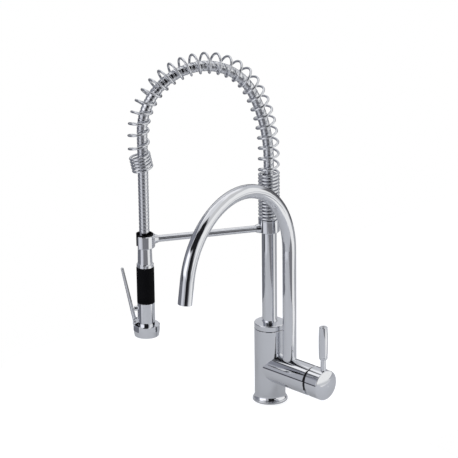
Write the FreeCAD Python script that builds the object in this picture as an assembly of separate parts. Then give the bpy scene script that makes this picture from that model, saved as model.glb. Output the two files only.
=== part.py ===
import FreeCAD, Part
import math
import os

os.makedirs("parts", exist_ok=True)

# A deck-mounted sink mixer with two outlets. A round valve body carries a swan-neck spout and,
# on a side branch, a single-lever ceramic cartridge. Above the body stands a riser tube with a
# sprung flexible hose that arches over to a hand spray, which a holder on the riser's arm parks.
# Millimetres. The origin is the centre of the foot on the deck, +Z is up, -Y is the front where
# the user stands and +X is the side that carries the branch and its lever.

# Fits
seat_gap = 0.05          # between pieces that are fixed in each other
running_gap = 0.06       # radial, between pieces that turn or slide in each other
free_gap = 0.3           # between moving pieces that do not guide each other

# Foot
foot_ring_r = 28.4
foot_ring_top = 4.6
foot_ring_underside = 0.4
foot_edge = 1.8
gasket_inner_r = 22.0
gasket_outer_r = 27.0
gasket_thickness = 1.4
spigot_r = 20.0
spigot_depth = 2.8
stud_hole_r = 3.4
stud_hole_depth = 16.0
stud_offset = 13.5
inlet_hole_r = 4.5
inlet_hole_depth = 14.0
inlet_spacing = 17.0
inlet_offset = 4.0

# Valve body and its cap
body_r = 25.0
body_joint_z = 125.2
flare_r = 27.0
flare_height = 10.0
joint_groove = 0.6
cap_band = 5.2
cap_height = 14.2
branch_r = 24.6
branch_z = 58.5
branch_end_x = 94.5
branch_edge = 0.8

# Spout
spout_x = 44.0
spout_heading = 6.0
spout_r = 11.0
spout_wall = 1.2
spout_tube_foot_z = 66.0
spout_bend_z = 269.2
spout_bend_r = 127.4
spout_bend_deg = 169.75
spout_tail = 36.5
spout_bush_wall = 1.6
spout_socket_floor_z = 50.0
spout_bush_height = 28.0
spout_bush_split = 2.0
spout_foot_bore_r = 6.5
spout_screw_r = 1.5
spout_screw_z = 63.0

# Riser
riser_r = 12.0
riser_wall = 1.6
riser_top_z = 384.0
riser_socket_floor_z = 96.8
riser_bush_wall = 2.0
riser_bush_flange_r = 16.4
riser_bush_flange = 2.4
riser_shank_bore_r = 6.0
riser_screw_r = 1.7
riser_screw_z = 114.2

# O-rings on the two swivels
seal_groove_depth = 1.6
seal_groove_width = 2.6
seal_pitch = 5.0

# Holder arm, its collar on the riser and its ring at the front
arm_heading = -30.0
arm_z = 296.0
arm_reach = 204.0
arm_rod_r = 5.35
arm_boss_r = 8.0
arm_boss_length = 5.0
collar_r = 17.0
collar_height = 20.5
collar_liner_wall = 1.4
seat_flange_r = 17.4
seat_flange = 1.6
collar_screw_r = 2.0
ring_r = 16.4
ring_wall = 2.2
ring_height = 20.6
ring_liner_wall = 2.6
ring_liner_proud = 1.5
ring_opening_near_deg = 35.0
ring_opening_far_deg = -65.0
liner_near_lap_deg = 6.0
liner_far_lap_deg = 30.0

# Flexible hose
hose_r = 8.2
hose_valley_r = 7.4
hose_bore_r = 5.0
hose_rib_pitch = 6.0
hose_start_z = 362.0
hose_rise = 47.5
hose_first_bend_r = 260.0
hose_first_bend_deg = 25.0
hose_second_bend_r = 90.0
ferrule_r = 9.2
nipple_length = 18.0
nipple_neck_r = 8.6
nipple_neck = 4.0
nipple_top_z = 338.0

# Spring over the hose
wire_r = 1.6
coil_r = 15.6
close_turns = 13.75
close_pitch = 5.5
rising_turns = 4.25
rising_pitch = 18.0
crown_turns = 19.5
crown_pitch = 16.95
falling_turns = 1.5
end_turns = 4.75
end_pitch = 5.2
coil_straight_z = 423.2
coil_first_bend_r = 230.0
coil_first_bend_deg = 27.0
coil_top_u = 104.5
coil_last_bend_r = 105.2
coil_lean_z = 447.0
coil_lean_r = 60.0
coil_lean_deg = 11.5
coil_end_z = 410.9

# Hand spray, heights above the deck
wand_neck_top_z = 301.0
wand_neck_bottom_z = 257.5
wand_neck_top_r = 10.6
wand_neck_bottom_r = 11.7
wand_neck_wall = 2.0
hose_end_z = 293.0
ferrule_length = 27.0
core_r = 7.0
core_bore_r = 5.0
grip_ring_r = 13.5
grip_ring_height = 6.7
grip_r = 14.1
grip_length = 57.2
handset_r = 13.8
head_top_z = 155.0
head_r = 21.0
head_height = 19.0
head_band = 9.7
head_bottom_r = 19.5
head_edge = 1.2
head_spigot_r = 12.0
head_skirt_wall = 3.2
head_roof = 10.0
face_r = 17.5
face_thickness = 6.5
nozzle_r = 1.1
nozzle_height = 1.6
notch_count = 6
notch_width = 6.5
notch_height = 4.4
notch_depth = 2.4

# Spray lever, its bracket and the plunger that it presses
lever_heading = -15.0
lever_pivot_u = 18.6
lever_pivot_z = 160.0
lever_lean = 11.4
lever_length = 92.0
lever_root_r = 3.0
lever_tip_r = 2.3
lever_eye_r = 3.2
lever_eye_width = 5.0
lever_pin_r = 1.2
bracket_ear = 2.2
bracket_top_z = 164.2
bracket_reach = 21.8
plunger_z = 181.0
plunger_r = 3.9
plunger_dome = 0.9
plunger_length = 6.4
plunger_stem_r = 1.8
plunger_stem_end = -5.0
plunger_travel = 3.2
return_spring_r = 3.5
return_spring_wall = 0.9
return_spring_length = 6.2

# Cartridge, in lengths along the branch
pocket_floor_x = 60.0
cartridge_r = 17.5
cartridge_x = 60.6
cartridge_shoulder_x = 90.6
cartridge_neck_r = 14.0
cartridge_end_x = 98.0
base_seal_r = 4.75
base_seal_width = 1.5
nut_r = 21.0
nut_end_x = 95.5
nut_slots = 6
cover_r = 19.6
cover_tip_r = 16.4
cover_end_x = 101.6
rotor_r = 11.0
rotor_x = 72.0
rotor_end_x = 107.0
stem_width = 8.6
stem_x = 89.0
stem_end_x = 119.5
lift_x = 103.0
lift_pin_r = 1.5

# Lever handle
handle_gap_top = 2.5
handle_gap_bottom = 8.5
handle_front_x = 123.5
handle_dome = 5.0
handle_wall = 2.0
handle_cavity_x = 111.5
handle_screw_r = 2.0
pin_x = 117.8
pin_stem_r = 4.3
pin_shoulder_z = 101.5
pin_top_z = 157.4
pin_sleeve_foot_r = 5.9
pin_sleeve_r = 7.3
pin_sleeve_top_r = 6.5

# Corner radius of a hexagon over the radius of the circle that has its area
hexagon_reach = math.sqrt(2 * math.pi / (3 * math.sqrt(3)))

UP = FreeCAD.Vector(0, 0, 1)
ALONG = FreeCAD.Vector(1, 0, 0)
ACROSS = FreeCAD.Vector(0, 1, 0)
ORIGIN = FreeCAD.Vector(0, 0, 0)


def vec(x, y, z):
    return FreeCAD.Vector(x, y, z)


def turned(start, *steps):
    """Solid of revolution about Z from a closed outline of (radius, height) points.

    A step is the next point, or a pair (way point, next point) for an arc.
    """
    edges = []
    here = start
    for step in list(steps) + [start]:
        if isinstance(step[0], tuple):
            way, end = step
            arc = Part.Arc(vec(here[0], 0, here[1]), vec(way[0], 0, way[1]), vec(end[0], 0, end[1]))
            edges.append(arc.toShape())
        else:
            end = step
            edges.append(Part.makeLine(vec(here[0], 0, here[1]), vec(end[0], 0, end[1])))
        here = end
    return Part.Face(Part.Wire(edges)).revolve(ORIGIN, UP, 360)


def domed(radius, height, rise):
    """Arc step of an outline, from (radius, height) up to the axis as part of a sphere."""
    ball = (radius * radius + rise * rise) / (2 * rise)
    half = math.asin(radius / ball) / 2
    way = (ball * math.sin(half), height + rise - ball + ball * math.cos(half))
    return (way, (0, height + rise))


def rod(radius, bottom, top, edge=0.0):
    """Round bar about Z, with both ends chamfered where an edge is given."""
    if edge <= 0:
        return Part.makeCylinder(radius, top - bottom, vec(0, 0, bottom))
    return turned((0, bottom), (radius - edge, bottom), (radius, bottom + edge), (radius, top - edge),
                  (radius - edge, top), (0, top))


def tube(outer, inner, bottom, top, edge=0.0):
    """Round tube about Z, with its outer edges chamfered where an edge is given."""
    if edge <= 0:
        return turned((inner, bottom), (outer, bottom), (outer, top), (inner, top))
    return turned((inner, bottom), (outer - edge, bottom), (outer, bottom + edge), (outer, top - edge),
                  (outer - edge, top), (inner, top))


def box(x0, x1, y0, y1, z0, z1):
    return Part.makeBox(x1 - x0, y1 - y0, z1 - z0, vec(x0, y0, z0))


def along_x(shape, height=0.0):
    """Lay a piece modelled about Z along +X, at a height above the deck."""
    laid = shape.rotated(ORIGIN, ACROSS, 90)
    return laid.translated(vec(0, 0, height))


def to_rear(shape, x, height):
    """Lay a piece modelled about Z along +Y, through the given x and height."""
    laid = shape.rotated(ORIGIN, ALONG, -90)
    return laid.translated(vec(x, 0, height))


def headed(shape, heading):
    """Turn a piece modelled towards +X so that it points the given degrees from the front."""
    return shape.rotated(ORIGIN, UP, heading - 90)


def on_branch(shape):
    return along_x(shape, branch_z)


def on_spout(shape):
    return headed(shape, spout_heading).translated(vec(spout_x, 0, 0))


def on_arm(shape):
    return headed(shape, arm_heading)


def on_wand(shape):
    return on_arm(shape.translated(vec(arm_reach, 0, 0)))


def on_lever_side(shape):
    """Place a piece modelled in the lever's plane, +X pointing from the hand spray to the lever."""
    return on_wand(shape.rotated(ORIGIN, UP, lever_heading))


class Route:
    """Path of straight runs and tangent arcs in the XZ plane. It starts upward, and a positive
    bend turns it towards +X."""

    def __init__(self, x, z):
        self.start = (x, z)
        self.heading = 0.0
        self.spans = []
        self.length = 0.0

    def end(self):
        if not self.spans:
            return self.start
        return self.at(self.length)[0]

    def straight(self, length):
        self.spans.append(("straight", self.end(), self.heading, length, 0.0))
        self.length += length
        return self

    def bend(self, radius, degrees):
        angle = math.radians(degrees)
        self.spans.append(("bend", self.end(), self.heading, radius * angle, radius))
        self.heading += angle
        self.length += radius * angle
        return self

    def at(self, distance):
        """Point and heading at a distance along the path."""
        left = distance
        for kind, (x, z), heading, length, radius in self.spans:
            if left <= length or self.spans[-1][1] == (x, z):
                break
            left -= length
        if kind == "straight":
            return (x + left * math.sin(heading), z + left * math.cos(heading)), heading
        turn = heading + left / radius
        centre = (x + radius * math.cos(heading), z - radius * math.sin(heading))
        return (centre[0] - radius * math.cos(turn), centre[1] + radius * math.sin(turn)), turn

    def wire(self, overrun=0.0):
        """The path as one wire, its two ends run on straight by the overrun."""
        edges = []
        walked = 0.0
        if overrun > 0:
            (x, z), heading = self.at(0)
            back = vec(x - overrun * math.sin(heading), 0, z - overrun * math.cos(heading))
            edges.append(Part.makeLine(back, vec(x, 0, z)))
        for kind, (x, z), heading, length, radius in self.spans:
            ends = [self.at(walked + share * length)[0] for share in (0.5, 1.0)]
            way, last = [vec(p[0], 0, p[1]) for p in ends]
            if kind == "straight":
                edges.append(Part.makeLine(vec(x, 0, z), last))
            else:
                edges.append(Part.Arc(vec(x, 0, z), way, last).toShape())
            walked += length
        if overrun > 0:
            (x, z), heading = self.at(self.length)
            on = vec(x + overrun * math.sin(heading), 0, z + overrun * math.cos(heading))
            edges.append(Part.makeLine(vec(x, 0, z), on))
        return Part.Wire(edges)


def swept(path, radius):
    """Round bar of the given radius along a path that starts upward."""
    start = path.Vertexes[0].Point
    ring = Part.Wire(Part.makeCircle(radius, start, UP))
    return path.makePipeShell([ring], True, False)


def biarc(p0, t0, p1, t1):
    """Two arcs that join two points with the given unit tangents."""
    chord = p1 - p0
    both = t0 + t1
    spread = 2 * (1 - t0.dot(t1))
    along = chord.dot(both)
    if spread < 1e-9:
        reach = chord.dot(chord) / (2 * along)
    else:
        reach = (math.sqrt(along * along + spread * chord.dot(chord)) - along) / spread
    corner0 = p0 + t0 * reach
    corner1 = p1 - t1 * reach
    joint = (corner0 + corner1) * 0.5
    return [arc_by_corner(p0, corner0, joint), arc_by_corner(joint, corner1, p1)]


def arc_by_corner(a, corner, b):
    """Arc from a to b whose end tangents meet at the corner."""
    middle = (a + b) * 0.5
    half = (b - a).Length / 2
    rise = (corner - middle).Length
    if rise < 1e-6 * half:
        return Part.makeLine(a, b)
    sag = half * math.tan(math.atan2(rise, half) / 2)
    return Part.Arc(a, middle + (corner - middle) * (sag / rise), b).toShape()


def six_sided(radius, at, way):
    """Hexagon square to the given way, with the area of a circle of the given radius."""
    corner_r = radius * hexagon_reach
    side = way.cross(UP).normalize()
    rise = side.cross(way)
    corners = []
    for i in range(6):
        angle = math.radians(60 * i)
        corners.append(at + side * (corner_r * math.cos(angle)) + rise * (corner_r * math.sin(angle)))
    return Part.makePolygon(corners + [corners[0]])


def coil(centre_line, turns):
    """Spring wire wound along centre_line(turn), its ends run straight for a wire diameter."""
    wire = wire_r
    halves = int(round(turns * 2))
    step = turns / halves

    def tangent(turn):
        near = 0.01
        way = centre_line(turn + near) - centre_line(turn - near)
        return way.normalize()

    stations = [(centre_line(i * step), tangent(i * step)) for i in range(halves + 1)]
    first, first_way = stations[0]
    last, last_way = stations[-1]
    edges = [Part.makeLine(first - first_way * (2 * wire), first)]
    for (p0, t0), (p1, t1) in zip(stations, stations[1:]):
        edges += biarc(p0, t0, p1, t1)
    edges.append(Part.makeLine(last, last + last_way * (2 * wire)))
    report_least_gap(centre_line, turns)
    section = six_sided(wire, first - first_way * (2 * wire), first_way)
    return Part.Wire(edges).makePipeShell([section], True, False)


def report_least_gap(centre_line, turns):
    """Print the least gap between neighbouring turns of the spring, measured on points."""
    per_turn = 24
    points = [centre_line(i / per_turn) for i in range(int(turns * per_turn) + 1)]
    least = 1e9
    for i, here in enumerate(points):
        for other in points[i + per_turn // 2: i + 2 * per_turn]:
            least = min(least, here.distanceToPoint(other))
    gap = least - 2 * wire_r * hexagon_reach
    print("spring: least gap between turns", round(gap, 2), "mm over", turns, "turns")


def foot():
    """Ring that the body stands on, and the gasket under it."""
    ring = turned((spigot_r + seat_gap, foot_ring_underside), (foot_ring_r - 0.4, foot_ring_underside),
                  (foot_ring_r, foot_ring_underside + 0.4), (foot_ring_r, foot_ring_top - foot_edge),
                  ((foot_ring_r - 0.3 * foot_edge, foot_ring_top - 0.3 * foot_edge),
                   (foot_ring_r - foot_edge, foot_ring_top)),
                  (spigot_r + seat_gap, foot_ring_top))
    groove = tube(gasket_outer_r + seat_gap, gasket_inner_r - seat_gap, -1, gasket_thickness)
    gasket = tube(gasket_outer_r, gasket_inner_r, 0, gasket_thickness)
    return {"foot_ring": ring.cut(groove), "foot_gasket": gasket}


def seal_heights(floor):
    """Middle heights of the two O-rings on a swivel shank that stands on the given floor."""
    return [floor + seal_pitch * (0.8 + i) for i in range(2)]


def seals(shank_r, floor):
    """The two O-rings of a swivel shank, as separate rings."""
    return Part.makeCompound([o_ring(shank_r - seal_groove_depth, shank_r, z) for z in seal_heights(floor)])


def o_ring(inner, outer, height):
    """Ring with an eight-sided section, a hair short of its groove's walls."""
    low = inner + seat_gap / 2
    high = outer - seat_gap / 2
    half = (high - low) / 2
    cut = 0.6 * half
    return turned((low + cut, height - half), (high - cut, height - half), (high, height - half + cut),
                  (high, height + half - cut), (high - cut, height + half), (low + cut, height + half),
                  (low, height + half - cut), (low, height - half + cut))


def shank(radius, bore, floor, top, spigot, spigot_top, screw_r, screw_z):
    """Brass foot of a swivelling tube, with two seal grooves and the groove of its lock screw."""
    groove_r = radius - seal_groove_depth
    solid = rod(radius, floor, top).fuse(rod(spigot, top, spigot_top))
    solid = solid.cut(rod(bore, floor - 1, spigot_top + 1))
    for z in seal_heights(floor):
        half = seal_groove_width / 2
        solid = solid.cut(tube(radius + 1, groove_r, z - half, z + half))
    half = screw_r + free_gap
    return solid.cut(tube(radius + 1, groove_r, screw_z - half, screw_z + half))


def lock_screw(shank_r, screw_r, outer_y, x, z):
    """Dog-point screw from the rear whose tip stands in a shank's groove without touching it."""
    tip = shank_r - seal_groove_depth + free_gap
    screw = rod(screw_r, tip, outer_y)
    socket = Part.makeCylinder(screw_r * 0.5, 1.6, vec(0, 0, outer_y - 1.6))
    return to_rear(screw.cut(socket), x, z)


def screw_way(radius, outer_y, x, z):
    return to_rear(rod(radius, 0, outer_y + 1), x, z)


spout_bush_r = spout_r + running_gap + spout_bush_wall
spout_bush_top_z = spout_socket_floor_z + spout_bush_height
riser_bush_r = riser_r + running_gap + riser_bush_wall
spout_screw_y = branch_r - 0.9
riser_screw_y = body_r - 0.6


def valve_body():
    """Column with a flared foot and its side branch, with sockets, cartridge pocket and inlets."""
    seat = foot_ring_top
    column = turned((0, seat - spigot_depth), (spigot_r, seat - spigot_depth), (spigot_r, seat),
                    (flare_r - 1.0, seat), (flare_r - 1.0, seat + 1.0), (flare_r, seat + 1.0),
                    ((flare_r - 1.5, seat + 0.4 * flare_height), (body_r, seat + flare_height)),
                    (body_r, body_joint_z - joint_groove), (body_r - joint_groove, body_joint_z),
                    (0, body_joint_z))
    branch = rod(branch_r, -branch_end_x, branch_end_x, branch_edge)
    branch = on_branch(branch.common(rod(branch_r + 1, 0, branch_end_x + 1)))
    branch = branch.cut(rod(body_r, 0, body_joint_z))
    cuts = [
        rod(spout_bush_r + seat_gap, spout_socket_floor_z, spout_bush_top_z).translated(vec(spout_x, 0, 0)),
        rod(spout_r + free_gap, spout_bush_top_z, branch_z + branch_r + 1).translated(vec(spout_x, 0, 0)),
        on_branch(rod(cartridge_r + seat_gap, pocket_floor_x, branch_end_x + 1)),
        on_branch(rod(nut_r + seat_gap, cartridge_shoulder_x, branch_end_x + 1)),
        screw_way(spout_screw_r + seat_gap, branch_r, spout_x, spout_screw_z),
    ]
    for cutter in cuts:
        branch = branch.cut(cutter)
    cuts = [
        rod(riser_bush_r + seat_gap, riser_socket_floor_z, body_joint_z + 1),
        rod(stud_hole_r, -1, seat - spigot_depth + stud_hole_depth).translated(vec(0, stud_offset, 0)),
        screw_way(riser_screw_r + seat_gap, body_r, 0, riser_screw_z),
    ]
    for side in (-0.5, 0.5):
        inlet = rod(inlet_hole_r, -1, seat - spigot_depth + inlet_hole_depth)
        cuts.append(inlet.translated(vec(side * inlet_spacing, -inlet_offset, 0)))
    for cutter in cuts:
        column = column.cut(cutter)
    return {"valve_body": column, "side_branch": branch}


def body_cap():
    """Domed cap that closes the body round the riser."""
    z = body_joint_z
    hole = riser_r + free_gap
    recess = riser_bush_flange_r + seat_gap
    return turned((recess, z), (body_r - joint_groove, z), (body_r, z + joint_groove), (body_r, z + cap_band),
                  ((body_r - 3.4, z + cap_band + 0.63 * (cap_height - cap_band)), (hole + 1.0, z + cap_height)),
                  (hole, z + cap_height - 0.6), (hole, z + riser_bush_flange + seat_gap),
                  (recess, z + riser_bush_flange + seat_gap))


def body_fittings():
    """Swivel bushes and lock screws, which stay with the body."""
    riser_bush = tube(riser_bush_r, riser_r + running_gap, riser_socket_floor_z, body_joint_z)
    flange = tube(riser_bush_flange_r, riser_r + running_gap, body_joint_z, body_joint_z + riser_bush_flange)
    riser_bush = riser_bush.fuse(flange)
    riser_bush = riser_bush.cut(screw_way(riser_screw_r + seat_gap, body_r, 0, riser_screw_z))
    spout_bush = tube(spout_bush_r, spout_r + running_gap, spout_socket_floor_z, spout_bush_top_z)
    half = spout_bush_split / 2
    spout_bush = spout_bush.cut(box(-half, half, -body_r, 0, 0, body_joint_z)).translated(vec(spout_x, 0, 0))
    spout_bush = spout_bush.cut(screw_way(spout_screw_r + seat_gap, branch_r, spout_x, spout_screw_z))
    return {
        "body_cap": body_cap(),
        "riser_bush": riser_bush,
        "spout_bush": spout_bush,
        "riser_lock_screw": lock_screw(riser_r, riser_screw_r, riser_screw_y, 0, riser_screw_z),
        "spout_lock_screw": lock_screw(spout_r, spout_screw_r, spout_screw_y, spout_x, spout_screw_z),
    }


def cartridge():
    """Ceramic cartridge in the branch, with its seals, clamping nut and dark cover."""
    bore = rotor_r + running_gap
    body = turned((0, cartridge_x), (cartridge_r, cartridge_x), (cartridge_r, cartridge_shoulder_x),
                  (cartridge_neck_r, cartridge_shoulder_x), (cartridge_neck_r, cartridge_end_x),
                  (bore, cartridge_end_x), (bore, rotor_x - running_gap), (0, rotor_x - running_gap))
    ring = o_ring(base_seal_r - base_seal_width, base_seal_r, pocket_floor_x + base_seal_width / 2)
    recess = rod(base_seal_r + seat_gap, 0, pocket_floor_x + base_seal_width + seat_gap)
    rings = []
    for angle in (90, 210, 330):
        place = vec(8.4 * math.cos(math.radians(angle)), 8.4 * math.sin(math.radians(angle)), 0)
        rings.append(on_branch(ring.translated(place)))
        body = body.cut(recess.translated(place))
    nut = tube(nut_r, cartridge_neck_r + seat_gap, cartridge_shoulder_x, nut_end_x)
    slot = box(cartridge_neck_r - 1, nut_r - 2.2, -1.6, 1.6, nut_end_x - 2, nut_end_x + 1)
    for i in range(nut_slots):
        nut = nut.cut(slot.rotated(ORIGIN, UP, 360 / nut_slots * i))
    cover = turned((cartridge_neck_r + seat_gap, nut_end_x), (cover_r, nut_end_x), (cover_r, nut_end_x + 2),
                   ((cover_r - 0.9, cover_end_x - 1.6), (cover_tip_r, cover_end_x)),
                   (bore + 0.6, cover_end_x), (bore + 0.6, cartridge_end_x + seat_gap),
                   (cartridge_neck_r + seat_gap, cartridge_end_x + seat_gap))
    return {
        "cartridge_body": on_branch(body),
        "cartridge_seals": Part.makeCompound(rings),
        "cartridge_nut": on_branch(nut),
        "cartridge_cover": on_branch(cover),
    }


def rotor():
    """Turning core of the cartridge, slotted for the stem, with the pin that the stem tilts on."""
    core = on_branch(rod(rotor_r, rotor_x, rotor_end_x))
    half = stem_width / 2 + free_gap / 2
    tall = 8.8
    slot = box(stem_x - 1.4, rotor_end_x + 1, -half, half, branch_z - tall, branch_z + tall)
    hole = to_rear(rod(lift_pin_r + seat_gap, -rotor_r - 1, rotor_r + 1), lift_x, branch_z)
    pin = to_rear(rod(lift_pin_r, 0.6 - rotor_r, rotor_r - 0.6), lift_x, branch_z)
    return {"cartridge_rotor": core.cut(slot).cut(hole), "lift_pin": pin}


def handle():
    """Domed handle cap on the stem, its screw, and the upright pin lever with its sleeve."""
    half = stem_width / 2
    stem = box(stem_x, stem_end_x, -half, half, branch_z - half, branch_z + half)
    stem = stem.cut(to_rear(rod(lift_pin_r + running_gap, -half - 1, half + 1), lift_x, branch_z))
    rim_x = branch_end_x + handle_gap_top
    cap = turned((0, rim_x), (branch_r, rim_x), (branch_r, handle_front_x - 1.0),
                 ((branch_r - 0.35, handle_front_x - 0.25), (branch_r - 1.2, handle_front_x)),
                 domed(branch_r - 1.2, handle_front_x, handle_dome))
    cap = on_branch(cap.cut(rod(branch_r - handle_wall, 0, handle_cavity_x)))
    slant = math.degrees(math.atan2(handle_gap_bottom - handle_gap_top, 2 * branch_r))
    waste = box(-60, 0, -60, 60, -80, 80).rotated(ORIGIN, ACROSS, -slant)
    middle = branch_end_x + (handle_gap_bottom + handle_gap_top) / 2
    cap = cap.cut(waste.translated(vec(middle, 0, branch_z)))
    way = half + seat_gap
    cap = cap.cut(box(handle_cavity_x - 1, stem_end_x + seat_gap, -way, way, branch_z - way, branch_z + way))
    pin_floor = branch_z + branch_r - 12
    cap = cap.cut(rod(pin_stem_r + seat_gap, pin_floor, branch_z + branch_r + 1).translated(vec(pin_x, 0, 0)))
    screw_x = (handle_cavity_x + stem_end_x) / 2
    screw_way_down = rod(handle_screw_r + seat_gap, branch_z - branch_r - 1, branch_z)
    cap = cap.cut(screw_way_down.translated(vec(screw_x, 0, 0)))
    screw = rod(handle_screw_r, branch_z - branch_r + 1.2, branch_z - half)
    socket = Part.makeCylinder(1.0, 1.6, vec(0, 0, branch_z - branch_r + 1.2))
    pin = rod(pin_stem_r, pin_floor, pin_top_z - 6)
    sleeve = turned((pin_stem_r + seat_gap, pin_shoulder_z), (pin_sleeve_foot_r - 0.8, pin_shoulder_z),
                    ((pin_sleeve_foot_r + 0.2, pin_shoulder_z + 1.2), (pin_sleeve_r - 0.6, pin_shoulder_z + 4.5)),
                    ((pin_sleeve_r, pin_shoulder_z + 22), (pin_sleeve_top_r, pin_top_z - 0.7)),
                    (pin_sleeve_top_r - 0.7, pin_top_z), (0, pin_top_z), (0, pin_top_z - 6 + seat_gap),
                    (pin_stem_r + seat_gap, pin_top_z - 6 + seat_gap))
    dimple = Part.makeCylinder(0.9, 1.2, vec(0, 0, pin_top_z - 1.0))
    return {
        "cartridge_stem": stem,
        "handle_cap": cap,
        "handle_screw": screw.cut(socket).translated(vec(screw_x, 0, 0)),
        "lever_pin": pin.translated(vec(pin_x, 0, 0)),
        "lever_sleeve": sleeve.cut(dimple).translated(vec(pin_x, 0, 0)),
    }


def spout():
    """Swan-neck tube with its swivel shank, seals and flow straightener."""
    neck = Route(0, spout_tube_foot_z).straight(spout_bend_z - spout_tube_foot_z)
    neck.bend(spout_bend_r, spout_bend_deg).straight(spout_tail)
    outer = swept(neck.wire(), spout_r)
    inner = swept(neck.wire(1.0), spout_r - spout_wall)
    bore = spout_r - spout_wall - seat_gap
    foot_piece = shank(spout_r, spout_foot_bore_r, spout_socket_floor_z + free_gap, spout_tube_foot_z,
                       bore, spout_tube_foot_z + 8, spout_screw_r, spout_screw_z)
    (end_u, end_z), heading = neck.at(neck.length)

    def at_outlet(shape):
        tilted = shape.rotated(ORIGIN, ACROSS, math.degrees(heading) - 180)
        return on_spout(tilted.translated(vec(end_u, 0, end_z)))

    lip = 0.8
    housing = turned((bore - 1.6, -lip), (bore + 0.3, -lip), (bore + 0.6, -0.5 * lip), (bore + 0.6, 0),
                     (bore, 0), (bore, 12), (bore - 1.6, 12))
    insert = rod(bore - 1.6 - seat_gap, 0.4, 9)
    for ring_r, holes in ((2.6, 6), (5.6, 12)):
        for i in range(holes):
            angle = 2 * math.pi * i / holes
            hole = Part.makeCylinder(0.75, 2.2, vec(ring_r * math.cos(angle), ring_r * math.sin(angle), 0))
            insert = insert.cut(hole)
    return {
        "spout_tube": on_spout(outer.cut(inner)),
        "spout_shank": on_spout(foot_piece),
        "spout_seals": on_spout(seals(spout_r, spout_socket_floor_z + free_gap)),
        "outlet_housing": at_outlet(housing),
        "outlet_insert": at_outlet(insert),
    }


collar_bottom_z = arm_z - 0.32 * collar_height
collar_top_z = collar_bottom_z + collar_height
spring_seat_z = collar_top_z + seat_flange


def riser():
    """Riser tube with its swivel shank and seals, and the fitting that carries the hose."""
    bore = riser_r - riser_wall - seat_gap
    foot_piece = shank(riser_r, riser_shank_bore_r, riser_socket_floor_z + free_gap, body_joint_z,
                       bore, body_joint_z + 8, riser_screw_r, riser_screw_z)
    nipple_bottom_z = nipple_top_z - nipple_length
    shoulder_z = nipple_top_z - nipple_neck
    nipple = turned((hose_bore_r, nipple_bottom_z), (bore, nipple_bottom_z), (bore, shoulder_z),
                    (nipple_neck_r, shoulder_z), (nipple_neck_r, nipple_top_z), (hose_bore_r, nipple_top_z))
    ferrule = tube(ferrule_r, hose_bore_r, nipple_top_z, hose_start_z, 0.8)
    for i in range(3):
        z = nipple_top_z + 6 + 5 * i
        ferrule = ferrule.cut(tube(ferrule_r + 1, ferrule_r - 0.5, z, z + 1.6))
    return {
        "riser_tube": tube(riser_r, riser_r - riser_wall, body_joint_z, riser_top_z),
        "riser_shank": foot_piece,
        "riser_seals": seals(riser_r, riser_socket_floor_z + free_gap),
        "hose_nipple": nipple,
        "hose_top_ferrule": ferrule,
    }


def wedge(from_deg, to_deg, height0, height1):
    """Prism that cuts the opening between two headings out of a ring about Z."""
    reach = 60
    corners = [ORIGIN]
    for share in (0.0, 0.5, 1.0):
        angle = math.radians(from_deg + share * (to_deg - from_deg))
        corners.append(vec(reach * math.cos(angle), reach * math.sin(angle), 0))
    face = Part.Face(Part.makePolygon(corners + [ORIGIN]))
    return face.extrude(vec(0, 0, height1 - height0)).translated(vec(0, 0, height0))


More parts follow.
